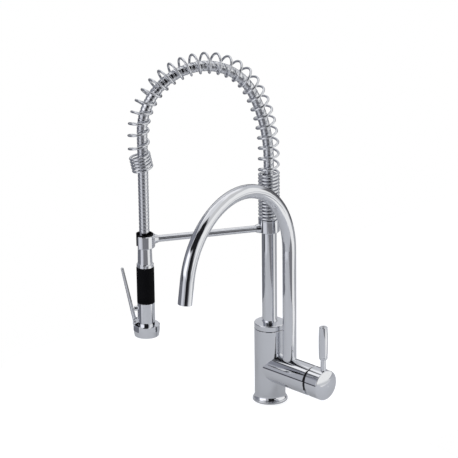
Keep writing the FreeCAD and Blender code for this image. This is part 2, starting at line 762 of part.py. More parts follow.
def holder():
    """Clamp collar on the riser, the arm, and the open ring that parks the hand spray."""
    liner_r = riser_r + seat_gap + collar_liner_wall
    liner = tube(liner_r, riser_r + seat_gap, collar_bottom_z + 0.4, collar_top_z)
    liner = liner.fuse(tube(seat_flange_r, riser_r + seat_gap, collar_top_z, spring_seat_z))
    boss_end = collar_r + arm_boss_length
    boss = turned((0, 0), (arm_boss_r, 0), (arm_boss_r, collar_r - 1.5), (arm_rod_r + 0.7, boss_end),
                  (0, boss_end))
    collar = turned((0, collar_bottom_z), (collar_r - 1.4, collar_bottom_z), (collar_r, collar_bottom_z + 1.4),
                    (collar_r, collar_top_z - 0.9), (collar_r - 0.9, collar_top_z), (0, collar_top_z))
    collar = collar.fuse(along_x(boss, arm_z))
    collar = collar.cut(rod(liner_r + seat_gap, 0, spring_seat_z))
    rod_start = collar_r - 2
    rod_end = arm_reach - ring_r + 1.4
    collar = collar.cut(along_x(rod(arm_rod_r + seat_gap, rod_start, boss_end + 1), arm_z))
    screw_way_back = along_x(rod(collar_screw_r + seat_gap, -collar_r - 1, 0), arm_z)
    collar = collar.cut(screw_way_back)
    liner = liner.cut(screw_way_back)
    screw = rod(collar_screw_r, 0.6 - collar_r, -riser_r - seat_gap)
    screw = screw.cut(Part.makeCylinder(1.0, 1.8, vec(0, 0, 0.6 - collar_r)))

    bottom = arm_z - ring_height / 2 - 1.0
    shell_in = ring_r - ring_wall
    shell = turned((0, bottom), (ring_r - 1.0, bottom), (ring_r, bottom + 1.0),
                   (ring_r, bottom + ring_height - 1.0), (ring_r - 1.0, bottom + ring_height),
                   (0, bottom + ring_height))
    ring_boss = along_x(boss.mirror(ORIGIN, UP).translated(vec(0, 0, collar_r - ring_r)), arm_z)
    shell = shell.fuse(ring_boss)
    shell = shell.cut(rod(shell_in, 0, bottom + ring_height + 1))
    shell = shell.cut(wedge(ring_opening_far_deg, ring_opening_near_deg, bottom - 1, bottom + ring_height + 1))
    shell = shell.translated(vec(arm_reach, 0, 0))
    shell = shell.cut(along_x(rod(arm_rod_r + seat_gap, arm_reach - ring_r - 10, rod_end), arm_z))
    pad_r = shell_in - seat_gap
    pad = tube(pad_r, pad_r - ring_liner_wall, bottom - 0.4, bottom + ring_height + ring_liner_proud, 0.5)
    pad = pad.cut(wedge(ring_opening_far_deg + liner_far_lap_deg, ring_opening_near_deg - liner_near_lap_deg,
                        bottom - 1, bottom + ring_height + 2))
    return {
        "arm_collar": on_arm(collar),
        "collar_liner": on_arm(liner),
        "collar_screw": on_arm(along_x(screw, arm_z)),
        "arm_rod": on_arm(along_x(rod(arm_rod_r, rod_start, rod_end), arm_z)),
        "holder_ring": on_arm(shell),
        "holder_liner": on_wand(pad),
    }


def hose_route():
    """The hose's line in the arm's plane: up from the riser, over, and down to the hand spray."""
    route = Route(0, hose_start_z).straight(hose_rise)
    route.bend(hose_first_bend_r, hose_first_bend_deg)
    turn = math.radians(hose_first_bend_deg)
    across = hose_first_bend_r * (1 - math.cos(turn)) + hose_second_bend_r * math.cos(turn)
    route.bend(hose_second_bend_r, 90 - hose_first_bend_deg)
    route.bend(arm_reach - across, 90)
    return route.straight(route.end()[1] - hose_end_z)


def ring_at(route, distance, radius):
    """Circle square to a route, with its X axis held on the route's normal plane."""
    (x, z), heading = route.at(distance)
    way = vec(math.sin(heading), 0, math.cos(heading))
    side = vec(math.cos(heading), 0, -math.sin(heading))
    frame = FreeCAD.Matrix(side.x, 0, way.x, x, 0, 1, 0, 0, side.z, 0, way.z, z, 0, 0, 0, 1)
    circle = Part.makeCircle(radius)
    circle.transformShape(frame)
    return Part.Wire(circle)


def flexible_hose():
    """Corrugated hose: rounded bands with narrow grooves between them, and its bore."""
    route = hose_route()
    plain = 2 * hose_r
    ribs = int((route.length - 2 * plain) / hose_rib_pitch)
    pitch = (route.length - 2 * plain) / ribs
    rings = [ring_at(route, 0, hose_valley_r)]
    for i in range(ribs):
        for share, radius in ((0.06, hose_valley_r), (0.2, hose_r), (0.8, hose_r), (0.94, hose_valley_r)):
            rings.append(ring_at(route, plain + (i + share) * pitch, radius))
    rings.append(ring_at(route, route.length, hose_valley_r))
    skin = Part.makeLoft(rings, True, True)
    print("hose length", round(route.length, 1), "mm with", ribs, "ribs")
    return on_arm(skin.cut(swept(route.wire(1.0), hose_bore_r)))


def spring_route():
    """The spring's centre line in the arm's plane, from its seat to its free end."""
    route = Route(0, spring_seat_z).straight(coil_straight_z - spring_seat_z)
    route.bend(coil_first_bend_r, coil_first_bend_deg)
    turn = math.radians(coil_first_bend_deg)
    across = coil_first_bend_r * (1 - math.cos(turn))
    route.bend((coil_top_u - across) / math.cos(turn), 90 - coil_first_bend_deg)
    route.bend(coil_last_bend_r, 90)
    route.straight(route.end()[1] - coil_lean_z)
    route.bend(coil_lean_r, coil_lean_deg)
    return route.straight((route.end()[1] - coil_end_z) / math.cos(math.radians(coil_lean_deg)))


def wound_along(route, stretches):
    """Centre line of a coil wound along a route, its stretches given as (turns, length)."""

    def point(turn):
        walked = wire_r + free_gap
        left = turn
        for turns, length in stretches:
            if left <= turns or (turns, length) == stretches[-1]:
                break
            left -= turns
            walked += length
        (x, z), heading = route.at(walked + left / turns * length)
        angle = 2 * math.pi * turn
        out = coil_r * math.cos(angle)
        return vec(x + out * math.cos(heading), coil_r * math.sin(angle), z - out * math.sin(heading))

    return point


def spring():
    """Arch spring: close turns on the riser, open turns over the arch, close turns at its end."""
    route = spring_route()
    stretches = [(close_turns, close_turns * close_pitch), (rising_turns, rising_turns * rising_pitch),
                 (crown_turns, crown_turns * crown_pitch)]
    end_length = end_turns * end_pitch
    wound = sum(length for turns, length in stretches)
    falling_length = route.length - 2 * (wire_r + free_gap) - wound - end_length
    stretches += [(falling_turns, falling_length), (end_turns, end_length)]
    turns = sum(turns for turns, length in stretches)
    return on_arm(coil(wound_along(route, stretches), turns))


def wand():
    """Hand spray: neck, grip, lower body with air notches, and spray head."""
    ferrule_bottom_z = hose_end_z - ferrule_length
    grip_top_z = wand_neck_bottom_z - grip_ring_height
    grip_bottom_z = grip_top_z - grip_length
    core_bottom_z = grip_bottom_z - 4
    core_hole = core_r + seat_gap
    mouth = hose_r + 0.4
    neck = turned((core_hole, wand_neck_bottom_z), (wand_neck_bottom_r, wand_neck_bottom_z),
                  (wand_neck_top_r, wand_neck_top_z - 0.8), (wand_neck_top_r - 0.8, wand_neck_top_z),
                  (mouth, wand_neck_top_z), (mouth, hose_end_z), (ferrule_r + seat_gap, hose_end_z),
                  (ferrule_r + seat_gap, ferrule_bottom_z), (core_hole, ferrule_bottom_z))
    ferrule = tube(ferrule_r, hose_bore_r, ferrule_bottom_z, hose_end_z)
    core = tube(core_r, core_bore_r, core_bottom_z, ferrule_bottom_z)
    grip_ring = tube(grip_ring_r, core_hole, grip_top_z, wand_neck_bottom_z, 1.2)
    grip = turned((core_hole, grip_bottom_z), (grip_r - 0.7, grip_bottom_z), (grip_r, grip_bottom_z + 0.7),
                  (grip_r, grip_top_z - 0.7), (grip_r - 0.7, grip_top_z), (core_hole, grip_top_z))

    head_bottom_z = head_top_z - head_height
    skirt_r = head_r - head_skirt_wall
    roof_z = head_top_z - head_roof
    body = turned((0, roof_z), (head_spigot_r, roof_z), (head_spigot_r, head_top_z), (handset_r, head_top_z),
                  (handset_r, grip_bottom_z), (core_hole, grip_bottom_z), (core_hole, core_bottom_z),
                  (core_bore_r, core_bottom_z), (core_bore_r, core_bottom_z - 2), (0, core_bottom_z - 2))
    notch = box(handset_r - notch_depth, handset_r + 1, -notch_width / 2, notch_width / 2,
                head_top_z, head_top_z + notch_height)
    first_notch = lever_heading + 180 / notch_count
    for i in range(notch_count):
        body = body.cut(notch.rotated(ORIGIN, UP, first_notch + 360 / notch_count * i))
    head = turned((head_spigot_r + seat_gap, head_top_z), (head_r - head_edge, head_top_z),
                  (head_r, head_top_z - head_edge), (head_r, head_top_z - head_band),
                  (head_bottom_r, head_bottom_z), (skirt_r + seat_gap, head_bottom_z),
                  (skirt_r + seat_gap, roof_z), (head_spigot_r + seat_gap, roof_z))
    face = rod(face_r, roof_z - face_thickness, roof_z)
    nozzle = Part.makeCone(nozzle_r * 0.7, nozzle_r, nozzle_height, vec(0, 0, roof_z - face_thickness - nozzle_height))
    for ring_r, count in ((0.0, 1), (6.0, 6), (12.5, 12)):
        for i in range(count):
            angle = 2 * math.pi * i / count
            face = face.fuse(nozzle.translated(vec(ring_r * math.cos(angle), ring_r * math.sin(angle), 0)))
    body = on_wand(body).cut(on_lever_side(plunger_bore()))
    return {
        "wand_neck": on_wand(neck),
        "hose_end_ferrule": on_wand(ferrule),
        "wand_core": on_wand(core),
        "grip_ring": on_wand(grip_ring),
        "rubber_grip": on_wand(grip),
        "handset_body": body,
        "spray_head": on_wand(head),
        "spray_face": on_wand(face),
    }


def lever_radius(distance):
    """Radius of the tapered spray lever at a distance along it."""
    share = (distance - 2 * lever_root_r) / (lever_length - lever_tip_r - 2 * lever_root_r)
    return lever_root_r + share * (lever_tip_r - lever_root_r)


def plunger_tip():
    """Reach of the plunger's domed end, which stops a free gap short of the leaning lever."""
    lean = math.radians(lever_lean)
    rise = plunger_z - lever_pivot_z
    ball = (plunger_r ** 2 + plunger_dome ** 2) / (2 * plunger_dome)
    aside = ball + lever_radius(rise / math.cos(lean)) + free_gap - rise * math.sin(lean)
    return lever_pivot_u - aside / math.cos(lean) + ball


plunger_back = plunger_tip() - plunger_length
plunger_floor = plunger_back - return_spring_length - plunger_travel - free_gap


def plunger_bore():
    """Stepped bore in the handset for the plunger, its spring and its stem."""
    wide = rod(plunger_r + running_gap, plunger_floor, handset_r + 2)
    narrow = rod(plunger_stem_r + running_gap, plunger_stem_end - plunger_travel - 1, handset_r)
    return along_x(wide.fuse(narrow), plunger_z)


def spray_lever():
    """Lever, its bracket and pin on the handset, and the plunger with its return spring."""
    inside = lever_eye_width / 2 + free_gap
    outside = inside + bracket_ear
    bottom = head_top_z + 0.2
    bracket = box(handset_r - 3, bracket_reach, -outside, outside, bottom, bracket_top_z)
    bracket = bracket.cut(box(lever_pivot_u - lever_eye_r - free_gap, bracket_reach + 1, -inside, inside,
                              bottom - 1, bracket_top_z + 1))
    nose = box(lever_pivot_u, bracket_reach + 1, -outside - 1, outside + 1, lever_pivot_z, bracket_top_z + 1)
    round_r = bracket_reach - lever_pivot_u
    keep = to_rear(rod(round_r, -outside - 1, outside + 1), lever_pivot_u, lever_pivot_z)
    bracket = bracket.cut(nose.cut(keep))
    bracket = bracket.cut(rod(handset_r + seat_gap, bottom - 1, bracket_top_z + 1))
    pin_hole = to_rear(rod(lever_pin_r + seat_gap, -outside - 1, outside + 1), lever_pivot_u, lever_pivot_z)
    bracket = bracket.cut(pin_hole)
    pin = to_rear(rod(lever_pin_r, -outside - 0.4, outside + 0.4), lever_pivot_u, lever_pivot_z)

    half = lever_eye_width / 2
    eye = rod(lever_eye_r, -half, half).rotated(ORIGIN, ALONG, -90)
    shoulder = 2 * lever_root_r
    bar = turned((0, 0), (lever_root_r, 0), (lever_root_r, shoulder), (lever_tip_r, lever_length - lever_tip_r),
                 domed(lever_tip_r, lever_length - lever_tip_r, lever_tip_r))
    flat = box(-lever_root_r - 1, lever_root_r + 1, half, lever_root_r + 1, -1, shoulder)
    bar = bar.cut(flat).cut(flat.rotated(ORIGIN, UP, 180))
    lever = eye.fuse(bar).cut(rod(lever_pin_r + running_gap, -half - 1, half + 1).rotated(ORIGIN, ALONG, -90))
    lever = lever.rotated(ORIGIN, ACROSS, lever_lean).translated(vec(lever_pivot_u, 0, lever_pivot_z))

    shoulder = plunger_tip() - plunger_dome
    button = turned((0, plunger_back), (plunger_r, plunger_back), (plunger_r, shoulder),
                    domed(plunger_r, shoulder, plunger_dome))
    stem = rod(plunger_stem_r, plunger_stem_end, plunger_back)
    button = button.fuse(stem)

    inner = return_spring_r - return_spring_wall
    packed = tube(return_spring_r, inner, plunger_back - return_spring_length, plunger_back, 0.3)
    return {
        "lever_bracket": on_lever_side(bracket),
        "lever_pivot_pin": on_lever_side(pin),
        "spray_lever": on_lever_side(lever),
        "plunger": on_lever_side(along_x(button, plunger_z)),
        "return_spring": on_lever_side(along_x(packed, plunger_z)),
    }


def main():
    pieces = {}
    for group in (valve_body, foot, body_fittings, cartridge, rotor, handle, spout, riser, holder, wand, spray_lever):
        pieces.update(group())
    pieces["flexible_hose"] = flexible_hose()
    pieces["arch_spring"] = spring()
    for name, shape in pieces.items():
        solids = shape.Solids
        whole = solids[0] if len(solids) == 1 else Part.makeCompound(solids)
        if not whole.isValid():
            print("not valid:", name)
        whole.exportStep("parts/" + name + ".step")
    print(len(pieces), "pieces")


main()
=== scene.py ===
# Looks of a sink mixer with a sprung hand spray: round spring wire, ribbed hose, small fittings,
# finishes, a pale studio and the camera. Lengths are written in millimetres, as in the part's
# source, and heights are above the deck. The frame has -Y at the front and +X at the handle.

import math

import bpy
from mathutils import Matrix, Vector


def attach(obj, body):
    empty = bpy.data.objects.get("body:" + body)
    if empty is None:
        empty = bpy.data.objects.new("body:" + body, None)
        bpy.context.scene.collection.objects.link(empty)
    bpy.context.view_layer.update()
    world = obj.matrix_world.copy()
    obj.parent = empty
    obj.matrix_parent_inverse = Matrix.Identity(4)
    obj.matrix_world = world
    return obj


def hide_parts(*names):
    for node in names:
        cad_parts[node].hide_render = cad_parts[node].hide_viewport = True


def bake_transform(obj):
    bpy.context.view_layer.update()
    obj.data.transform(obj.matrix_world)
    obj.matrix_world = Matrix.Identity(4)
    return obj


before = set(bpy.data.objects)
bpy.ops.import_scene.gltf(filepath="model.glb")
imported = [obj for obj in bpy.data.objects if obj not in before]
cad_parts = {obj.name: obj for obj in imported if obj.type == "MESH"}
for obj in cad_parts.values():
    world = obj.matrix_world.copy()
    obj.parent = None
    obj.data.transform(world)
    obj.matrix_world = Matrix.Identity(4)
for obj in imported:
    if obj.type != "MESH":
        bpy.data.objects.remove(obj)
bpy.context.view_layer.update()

MM = 0.001
TURN = 2 * math.pi
UP = Vector((0, 0, 1))
DOWN = Vector((0, 0, -1))
REAR = Vector((0, 1, 0))

# Arm, hand spray and its lever, placed as in the part's source
arm_heading = -30.0
arm_z = 296.0
arm_reach = 204.0
collar_r = 17.0
lever_heading = -15.0
lever_pivot_u = 18.6
lever_pivot_z = 160.0
bracket_half = 5.0

# Plunger that the lever presses, measured out from the hand spray's axis, and its return spring
plunger_z = 181.0
plunger_stem_end = -5.0
plunger_back = 13.02
plunger_tip = 19.42
plunger_stem_r = 1.8
plunger_head_r = 3.9
plunger_groove_r = 3.7
plunger_dome = ((3.9, 1.15), (3.88, 1.0), (3.8, 0.87), (3.6, 0.76), (3.0, 0.52), (2.0, 0.23),
                (1.0, 0.06), (0.3, 0.0))
return_length = 6.2
return_r = 3.5
return_wire_r = 0.35
return_turns = 5.5

# Head of the lever's pin: radius, and height over the bracket's ear
rivet_head = ((1.2, 0.0), (1.2, 0.05), (1.9, 0.05), (2.0, 0.25), (1.75, 0.6), (1.2, 0.85),
              (0.5, 0.97))

# Hose, as in the part's source
hose_start_z = 362.0
hose_end_z = 293.0
hose_rise = 47.5
hose_first_bend_r = 260.0
hose_first_bend_deg = 25.0
hose_second_bend_r = 90.0
hose_r = 8.2
hose_valley_r = 7.4
hose_bore_r = 5.0
hose_ribs = 94
hose_sides = 36

# One rib of the hose: share of the pitch, and share of the rib's height
rib_profile = ((0.05, 0.0), (0.09, 0.45), (0.13, 0.82), (0.18, 0.97), (0.24, 1.0), (0.3, 1.0),
               (0.7, 1.0), (0.76, 1.0), (0.82, 0.97), (0.87, 0.82), (0.91, 0.45), (0.95, 0.0))

# Spring over the hose, as in the part's source. The round wire drawn here is a little thicker than
# the solid's six-sided one, as the photograph shows it, and stays inside the solid's outside.
spring_seat_z = 311.54
wire_r = 1.6
free_gap = 0.3
drawn_coil_r = 15.4
drawn_wire_r = 1.85
close_turns = 13.75
close_pitch = 5.5
rising_turns = 4.25
rising_pitch = 18.0
crown_turns = 19.5
crown_pitch = 16.95
falling_turns = 1.5
end_turns = 4.75
end_pitch = 5.2
coil_straight_z = 423.2
coil_first_bend_r = 230.0
coil_first_bend_deg = 27.0
coil_top_u = 104.5
coil_last_bend_r = 105.2
coil_lean_z = 447.0
coil_lean_r = 60.0
coil_lean_deg = 11.5
coil_end_z = 410.9
points_per_turn = 28
wire_sides = 12

# Grip of the hand spray, with its fine rings
grip_r = 14.1
grip_bore_r = 12.2
grip_lip_r = 13.86
grip_seat_z = 193.65
grip_bottom_z = 191.6
grip_top_z = 250.8
grip_rings = 3
grip_first_ring = 3.0
grip_ring_pitch = 2.2
grip_ring_width = 0.8
grip_ring_flank = 0.25
grip_ring_depth = 0.35

# Spray face: radius and count of each ring of nozzles, and the outline of one tip
face_bottom_z = 138.5
nozzle_rings = ((0.0, 1), (6.0, 6), (12.5, 12))
tip_outline = ((1.5, 0.02), (1.45, 0.5), (1.1, 1.7), (0.95, 1.95), (0.7, 2.0), (0.5, 1.9),
               (0.42, 1.7))

# Cap of the body, round the riser and its bush, and under it a black ring of painted shade
cap_foot_z = 125.2
cap_rim_z = 133.6
cap_shoulder_z = 135.1
cap_top_z = 136.6
cap_edge = 1.6
cap_hole_r = 12.3
body_r = 25.0
bush_flange_r = 16.45
bush_flange_top_z = 127.65
shade_ring_inset = 1.0
shade_ring_height = 0.7
shade_ring_reach = 0.7
shade_ring_play = 0.05

# Outer ends of the set screws, and the top of the sleeve on the handle's pin
collar_screw_inset = 0.6
riser_screw_end = (0, 24.4, 114.2)
spout_screw_end = (44, 23.7, 63)
handle_screw_end = (115.5, 0, 35.1)
sleeve_top = (117.8, 0, 157.4)

# Camera: where it looks from, its lens for a frame this many pixels wide, its place, and the
# directions to its right and up
camera_heading = 45.0
frame_px = 458
focal_px = 2504.6
sensor_width = 36.0
camera_place = (2616.24, -2706.68, 1624.18)
camera_right = (0.70988, 0.70423, -0.01130)
camera_up = (-0.22714, 0.24408, 0.94278)

# Room that shiny surfaces show. Each panel: middle of its heading from the camera's side and half
# its width, its lowest and highest elevation, the softness of its edges, all in degrees, and its
# colour.
room_colour = (0.60, 0.61, 0.64)
black = (0.014, 0.014, 0.016)
room_panels = (
    (0, 181, 62, 91, 6, (0.80, 0.81, 0.83)),
    (180, 75, 42, 70, 6, (1.0, 1.0, 1.02)),
    (180, 68, -90, 8, 5, (0.07, 0.07, 0.08)),
    (-108, 30, -90, 46, 3, (0.24, 0.25, 0.29)),
    (-112, 54, -90, 0, 3, (0.17, 0.175, 0.20)),
    (-112, 34, -4.5, -0.5, 1, black),
    (-108, 30, 44, 47, 1, black),
    (-87, 5, 1, 30, 3, (0.42, 0.43, 0.47)),
    (84, 42, -90, 29, 4, (0.97, 0.97, 0.96)),
    (84, 42, 34, 60, 4, (0.68, 0.68, 0.68)),
    (84, 50, -15.5, -8, 4, (0.62, 0.63, 0.65)),
    (134, 14, -90, 12, 4, (0.14, 0.14, 0.15)),
    (-56, 25, 2, 31, 3, (1.25, 1.25, 1.3)),
    (-45, 23, -90, 3, 4, (0.72, 0.73, 0.78)),
    (-26, 6, -20, 33, 4, (0.42, 0.42, 0.45)),
    (-34, 32, 33, 58, 3, black),
    (-18, 30, 54, 71, 4, black),
    (8, 22, -20, 71, 4, black),
    (28, 12, 28, 55, 4, black),
    (34, 8, -20, 10, 3, (0.08, 0.08, 0.085)),
    (13, 34, -90, -12, 4, (0.21, 0.21, 0.225)),
)

# Light that dull surfaces get from all round
plain_light = (0.62, 0.62, 0.63)

# Floor. It ends nearer on the left and beside the handle, so that shiny pieces show the room there.
floor_corners = ((-440, 1200), (-440, -180), (-130, -700), (520, -700),
                 (520, 10), (300, 40), (300, 320), (520, 400), (520, 1200))
floor_z = -0.05
floor_colour = (0.315, 0.325, 0.35)
floor_glow = 0.8

# Part of the floor's glow that shiny metal shows: with all of it the chrome is white on white
shiny_share = 0.2

# Lamps: name, place, target, width and power in watts
lamps = (
    ("key lamp", (-100, -900, 900), (0, -100, 280), 800, 2.5),
    ("front lamp", (60, -540, 620), (60, -540, 0), 250, 1.6),
    ("side lamp", (380, 120, 480), (380, 120, 0), 250, 1.4),
)


# ---- Places ----

def headed(u, v, z, heading):
    """Point at u along a heading from the front and v to its side, as a vector in millimetres."""
    angle = math.radians(heading - 90)
    x = u * math.cos(angle) - v * math.sin(angle)
    y = u * math.sin(angle) + v * math.cos(angle)
    return Vector((x, y, z))


def on_arm(u, v, z):
    """Point at u out along the arm and v to its side, both from the riser's axis."""
    return headed(u, v, z, arm_heading)


def on_wand(x, y, z):
    """Point given about the hand spray's axis, x away from the riser."""
    return on_arm(arm_reach + x, y, z)


def on_lever_side(x, y, z):
    """Point given about the hand spray's axis, x towards its lever."""
    turn = math.radians(lever_heading)
    return on_wand(x * math.cos(turn) - y * math.sin(turn),
                   x * math.sin(turn) + y * math.cos(turn), z)


class Route:
    """Path of straight runs and tangent arcs in the arm's plane. It starts upward, and a positive
    bend turns it outward."""

    def __init__(self, u, z):
        self.end = (u, z)
        self.heading = 0.0
        self.spans = []
        self.length = 0.0

    def straight(self, length):
        return self.add(length, 0.0)

    def bend(self, radius, degrees):
        return self.add(radius * math.radians(degrees), radius)

    def add(self, length, radius):
        self.spans.append((self.length, self.end, self.heading, radius))
        self.length += length
        self.end, self.heading = self.at(self.length)
        return self

    def at(self, distance):
        """Point and heading at a distance along the path."""
        passed = [span for span in self.spans[1:] if span[0] <= distance]
        start, (u, z), heading, radius = (self.spans[:1] + passed)[-1]
        left = distance - start
        if radius == 0:
            return (u + left * math.sin(heading), z + left * math.cos(heading)), heading
        turn = heading + left / radius
        centre = (u + radius * math.cos(heading), z - radius * math.sin(heading))
        return (centre[0] - radius * math.cos(turn), centre[1] + radius * math.sin(turn)), turn


def beside_route(station, out, aside):
    """Point square to a route at a station of it: out in the arm's plane, and aside from it."""
    (u, z), heading = station
    return on_arm(u + out * math.cos(heading), aside, z - out * math.sin(heading))


def hose_route():
    """The hose's line: up from the riser, over, and down to the hand spray."""
    route = Route(0, hose_start_z).straight(hose_rise)
    route.bend(hose_first_bend_r, hose_first_bend_deg)
    turn = math.radians(hose_first_bend_deg)
    across = hose_first_bend_r * (1 - math.cos(turn)) + hose_second_bend_r * math.cos(turn)
    route.bend(hose_second_bend_r, 90 - hose_first_bend_deg)
    route.bend(arm_reach - across, 90)
    return route.straight(route.end[1] - hose_end_z)


def spring_route():
    """The spring's centre line, from its seat on the riser to its free end."""
    route = Route(0, spring_seat_z).straight(coil_straight_z - spring_seat_z)
    route.bend(coil_first_bend_r, coil_first_bend_deg)
    turn = math.radians(coil_first_bend_deg)
    across = coil_first_bend_r * (1 - math.cos(turn))
    route.bend((coil_top_u - across) / math.cos(turn), 90 - coil_first_bend_deg)
    route.bend(coil_last_bend_r, 90)
    route.straight(route.end[1] - coil_lean_z)
    route.bend(coil_lean_r, coil_lean_deg)
    return route.straight((route.end[1] - coil_end_z) / math.cos(math.radians(coil_lean_deg)))


# ---- Meshes ----

def mesh_piece(name, points, faces, finish, crisp_deg=40.0):
    """Mesh object from points in millimetres. Edges sharper than crisp_deg stay crisp."""
    mesh = bpy.data.meshes.new(name)
    mesh.from_pydata([tuple(c * MM for c in p) for p in points], [], faces)
    mesh.materials.append(finish)
    mesh.polygons.foreach_set("use_smooth", [True] * len(mesh.polygons))
    mesh.set_sharp_from_angle(angle=math.radians(crisp_deg))
    piece = bpy.data.objects.new(name, mesh)
    bpy.context.scene.collection.objects.link(piece)
    return piece


def skin(rings, capped=True):
    """Points and faces of a tube through rings of points. Without caps it closes on itself."""
    sides = len(rings[0])
    points = [p for ring in rings for p in ring]
    faces = []
    spans = len(rings) - 1 if capped else len(rings)
    for i in range(spans):
        near = i * sides
        far = (i + 1) % len(rings) * sides
        for j in range(sides):
            k = (j + 1) % sides
            faces.append((near + j, near + k, far + k, far + j))
    if capped:
        faces.append(tuple(reversed(range(sides))))
        faces.append(tuple(range(len(points) - sides, len(points))))
    return points, faces


def joined(parts):
    """One mesh from several (points, faces) lists."""
    points, faces = [], []
    for some_points, some_faces in parts:
        shift = len(points)
        points += some_points
        faces += [tuple(i + shift for i in face) for face in some_faces]
    return points, faces


def circle(centre, across, upward, radius, sides):
    """Ring of points about a centre in the plane of two unit vectors."""
    ring = []
    for i in range(sides):
        angle = TURN * i / sides
        ring.append(centre + across * (radius * math.cos(angle))
                    + upward * (radius * math.sin(angle)))
    return ring


def about(origin, way):
    """Place function for turned pieces: x and y across, and height along a direction."""
    way = way.normalized()
    across = way.orthogonal().normalized()
    upward = way.cross(across)
    return lambda x, y, height: origin + across * x + upward * y + way * height


def lathed(outline, place, sides, hexed=(), capped=True):
    """Skin turned from (radius, height) points. The rings numbered in hexed are hexagons."""
    sixth = TURN / 6
    rings = []
    for i, (radius, height) in enumerate(outline):
        ring = []
        for j in range(sides):
            angle = TURN * j / sides
            reach = radius
            if i in hexed:
                reach = radius / math.cos((angle + sixth / 2) % sixth - sixth / 2)
            ring.append(place(reach * math.cos(angle), reach * math.sin(angle), height))
        rings.append(ring)
    return skin(rings, capped)


# ---- Spring and hose ----

def wound_wire(centre_line, turns, axis_point, radius, run_out):
    """Round wire that follows centre_line(turn), its square ends run straight by run_out."""
    count = int(round(turns * points_per_turn))
    near = 0.01
    stations = []
    for i in range(count + 1):
        turn = turns * i / count
        here = centre_line(turn)
        way = (centre_line(turn + near) - centre_line(turn - near)).normalized()
        out = here - axis_point(turn)
        out = (out - way * out.dot(way)).normalized()
        stations.append((here, way, out, radius))
    edge = 0.25 * radius
    end_rings = ((run_out, radius - edge), (run_out - edge, radius))
    here, way, out, _ = stations[0]
    before = [(here - way * reach, way, out, thick) for reach, thick in end_rings]
    here, way, out, _ = stations[-1]
    after = [(here + way * reach, way, out, thick) for reach, thick in reversed(end_rings)]
    return skin([circle(here, out, way.cross(out), thick, wire_sides)
                 for here, way, out, thick in before + stations + after])


def arch_spring(finish):
    """Close turns on the riser, open turns over the arch, and close turns at the free end."""
    route = spring_route()
    run_in = wire_r + free_gap
    stretches = [(close_turns, close_turns * close_pitch),
                 (rising_turns, rising_turns * rising_pitch),
                 (crown_turns, crown_turns * crown_pitch)]
    wound = sum(length for turns, length in stretches)
    end_length = end_turns * end_pitch
    stretches.append((falling_turns, route.length - 2 * run_in - wound - end_length))
    stretches.append((end_turns, end_length))

    def on_route(turn):
        walked, left = run_in, turn
        for turns, length in stretches:
            if left <= turns or (turns, length) == stretches[-1]:
                break
            left -= turns
            walked += length
        return route.at(walked + left / turns * length)

    def axis_point(turn):
        return beside_route(on_route(turn), 0, 0)

    def centre_line(turn):
        return beside_route(on_route(turn), drawn_coil_r * math.cos(TURN * turn),
                            drawn_coil_r * math.sin(TURN * turn))

    all_turns = sum(turns for turns, length in stretches)
    points, faces = wound_wire(centre_line, all_turns, axis_point, drawn_wire_r, 2 * wire_r)
    piece = mesh_piece("wound_spring", points, faces, finish, crisp_deg=60)
    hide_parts("arch_spring")
    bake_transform(piece)


def ribbed_hose(finish):
    """Corrugated hose: rounded bands with narrow grooves between them, and its bore."""
    route = hose_route()
    plain = 2 * hose_r
    pitch = (route.length - 2 * plain) / hose_ribs
    outline = [(0.0, hose_valley_r)]
    for i in range(hose_ribs):
        for share, rise in rib_profile:
            radius = hose_valley_r + rise * (hose_r - hose_valley_r)
            outline.append((plain + (i + share) * pitch, radius))
    outline.append((route.length, hose_valley_r))
    bore = [(distance, hose_bore_r) for distance, radius in outline[::len(rib_profile)]]
    rings = []
    for distance, radius in outline + bore[::-1]:
        station = route.at(distance)
        angles = [TURN * i / hose_sides for i in range(hose_sides)]
        rings.append([beside_route(station, radius * math.cos(angle), radius * math.sin(angle))
                      for angle in angles])
    piece = mesh_piece("ribbed_hose", *skin(rings, capped=False), finish, crisp_deg=50)
    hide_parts("flexible_hose")
    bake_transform(piece)


# ---- Small fittings ----

def riser_cap(finish, seal):
    """Cap of the body: an upright band, a rounded shoulder and a low cone. Under it, a thin black
    ring paints the shade in the joint.
    """
    upright = about(Vector((0, 0, 0)), UP)
    inner_r = body_r - shade_ring_inset
    step_z = cap_foot_z + shade_ring_height
    outline = [(bush_flange_r, cap_foot_z), (inner_r, cap_foot_z), (inner_r, step_z),
               (body_r - 0.3, step_z), (body_r, step_z + 0.3), (body_r, step_z + 0.4),
               (body_r, cap_rim_z - 0.1)]
    for degrees in range(0, 91, 10):
        turn = math.radians(degrees)
        outline.append((body_r + cap_edge * (math.cos(turn) - 1),
                        cap_rim_z + (cap_shoulder_z - cap_rim_z) * math.sin(turn)))
    outline += [(body_r - cap_edge - 0.1, cap_shoulder_z + 0.01),
                (cap_hole_r + 0.4, cap_top_z - 0.01), (cap_hole_r + 0.3, cap_top_z),
                (cap_hole_r + 0.1, cap_top_z - 0.1), (cap_hole_r, cap_top_z - 0.3),
                (cap_hole_r, bush_flange_top_z), (bush_flange_r, bush_flange_top_z)]
    cap = lathed(outline, upright, sides=160, capped=False)
    piece = mesh_piece("riser_cap", *cap, finish, crisp_deg=30)
    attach(piece, "body")
    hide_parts("body_cap")

    # Black ring in the cap's recess: painted shade in the joint between the cap and the body
    low_z, high_z = cap_foot_z + shade_ring_play, step_z - shade_ring_play
    outer_r = inner_r + shade_ring_reach
    outline = [(inner_r + shade_ring_play, low_z), (outer_r - 0.1, low_z),
               (outer_r, cap_foot_z + 0.5 * shade_ring_height), (outer_r - 0.1, high_z),
               (inner_r + shade_ring_play, high_z)]
    ring = lathed(outline, upright, sides=160, capped=False)
    piece = mesh_piece("cap_shade_ring", *ring, seal, crisp_deg=50)
    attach(piece, "body")


